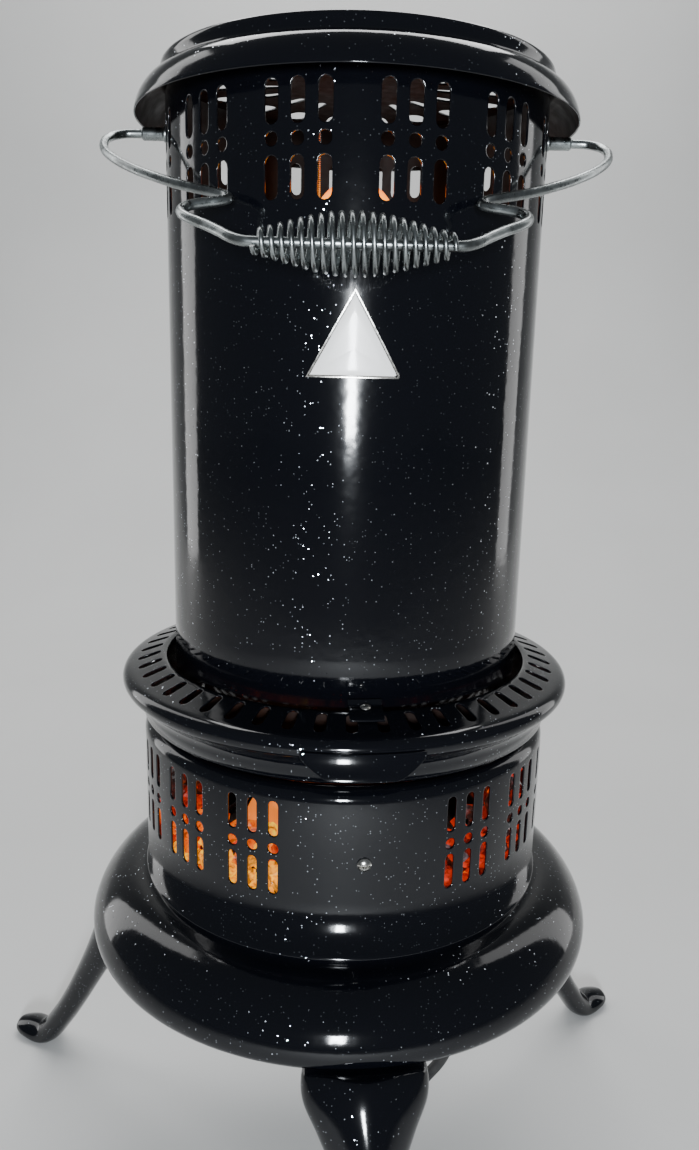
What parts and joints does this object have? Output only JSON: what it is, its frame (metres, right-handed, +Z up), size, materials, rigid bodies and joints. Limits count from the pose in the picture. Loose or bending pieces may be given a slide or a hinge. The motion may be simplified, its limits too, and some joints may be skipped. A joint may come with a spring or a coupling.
{
  "type": "paraffin heater",
  "caption": "Portable black enamelled paraffin heater with a pierced drum that tilts back, a louvred ring, a wire bail with a sprung grip, three cabriole legs and a mains lead to its lamps.",
  "frame": {"origin": "centre of the bounding box on the floor, without the cord", "axes": "+Z up, -Y towards the viewer of the front, +X to the viewer's right"},
  "size_m": [0.4833, 0.5782, 0.6702],
  "materials": {
    "enamel": "gloss black stove enamel with sparse fine silver flakes",
    "black": "satin black paint, warmed by heat",
    "steel": "bright steel, slightly dulled",
    "white": "off-white enamel and porcelain",
    "brass": "aged brass",
    "wick": "woven cotton wick",
    "amber": "lumps of amber and red glass lit from behind",
    "glass": "warm-white lamp glass",
    "rubber": "matt black rubber"
  },
  "bodies": {
    "base": {"leg_1": "enamel", "leg_2": "enamel", "leg_3": "enamel", "base_flange": "enamel", "lower_drum": "enamel", "hinge_leaf_lower": "enamel", "base_pan": "black", "glass_tray": "black", "lower_lamp_holder": "black", "leg_bolt_1": "steel", "leg_bolt_2": "steel", "leg_bolt_3": "steel", "panel_screw": "steel", "fuel_tank": "steel", "draft_tube": "steel", "wick_tube": "steel", "flame_spreader": "steel", "hinge_pin": "steel", "gauge_body": "brass", "burner_body": "brass", "lower_lamp_cap": "brass", "plug_pin_1": "brass", "plug_pin_2": "brass", "gauge_glass": "white", "terminal_block": "white", "amber_bed": "amber", "lower_lamp_glass": "glass", "inner_lead_low": "rubber", "inner_lead_link": "rubber", "strain_relief": "rubber", "lead": "rubber", "lead_end": "rubber", "lead_coil": "rubber", "plug_body": "rubber"},
    "upper": {"louver_ring": "enamel", "finger_lip": "enamel", "drum_clip": "enamel", "clip_screw": "steel", "hinge_leaf_upper": "enamel", "upper_drum": "enamel", "cap_brim": "enamel", "cap_grille": "enamel", "grille_button": "enamel", "badge_plate": "white", "badge_rim": "steel", "lamp_plate": "steel", "lamp_rod": "steel", "rod_nut_low": "steel", "rod_nut_high": "steel", "upper_lamp_holder": "black", "upper_lamp_cap": "brass", "upper_lamp_glass": "glass", "inner_lead_up": "rubber"},
    "handle": {"bail_wire": "steel", "bail_grip": "steel"},
    "wick_gear": {"wick_shaft": "brass", "wick_knob": "brass"},
    "wick_lift": {"wick_carrier": "brass", "wick": "wick"},
    "filler": {"filler_cap": "brass"}
  },
  "joints": [
    {"name": "drum_tilt", "type": "hinge", "parent": "base", "child": "upper", "pos_m": [0.00065, 0.18125, 0.3292], "axis": [-0.9949, -0.1011, 0], "range_deg": [0, 75]},
    {"name": "bail_swing", "type": "hinge", "parent": "upper", "child": "handle", "pos_m": [0.0135, 0.0547, 0.641], "axis": [-1, 0, 0], "range_deg": [0, 230]},
    {"name": "wick_turn", "type": "hinge", "parent": "base", "child": "wick_gear", "pos_m": [0.0135, 0.0547, 0.2595], "axis": [0.1011, -0.9949, 0], "range_deg": [0, 137.5]},
    {"name": "wick_rise", "type": "slide", "parent": "base", "child": "wick_lift", "axis": [0, 0, 1], "range_m": [0, 0.012]},
    {"name": "filler_lift", "type": "slide", "parent": "base", "child": "filler", "axis": [0, 0, 1], "range_m": [0, 0.04]}
  ],
  "couplings": [
    {"joint": "wick_rise", "follows": "wick_turn", "m_per_rad": 0.005}
  ]
}
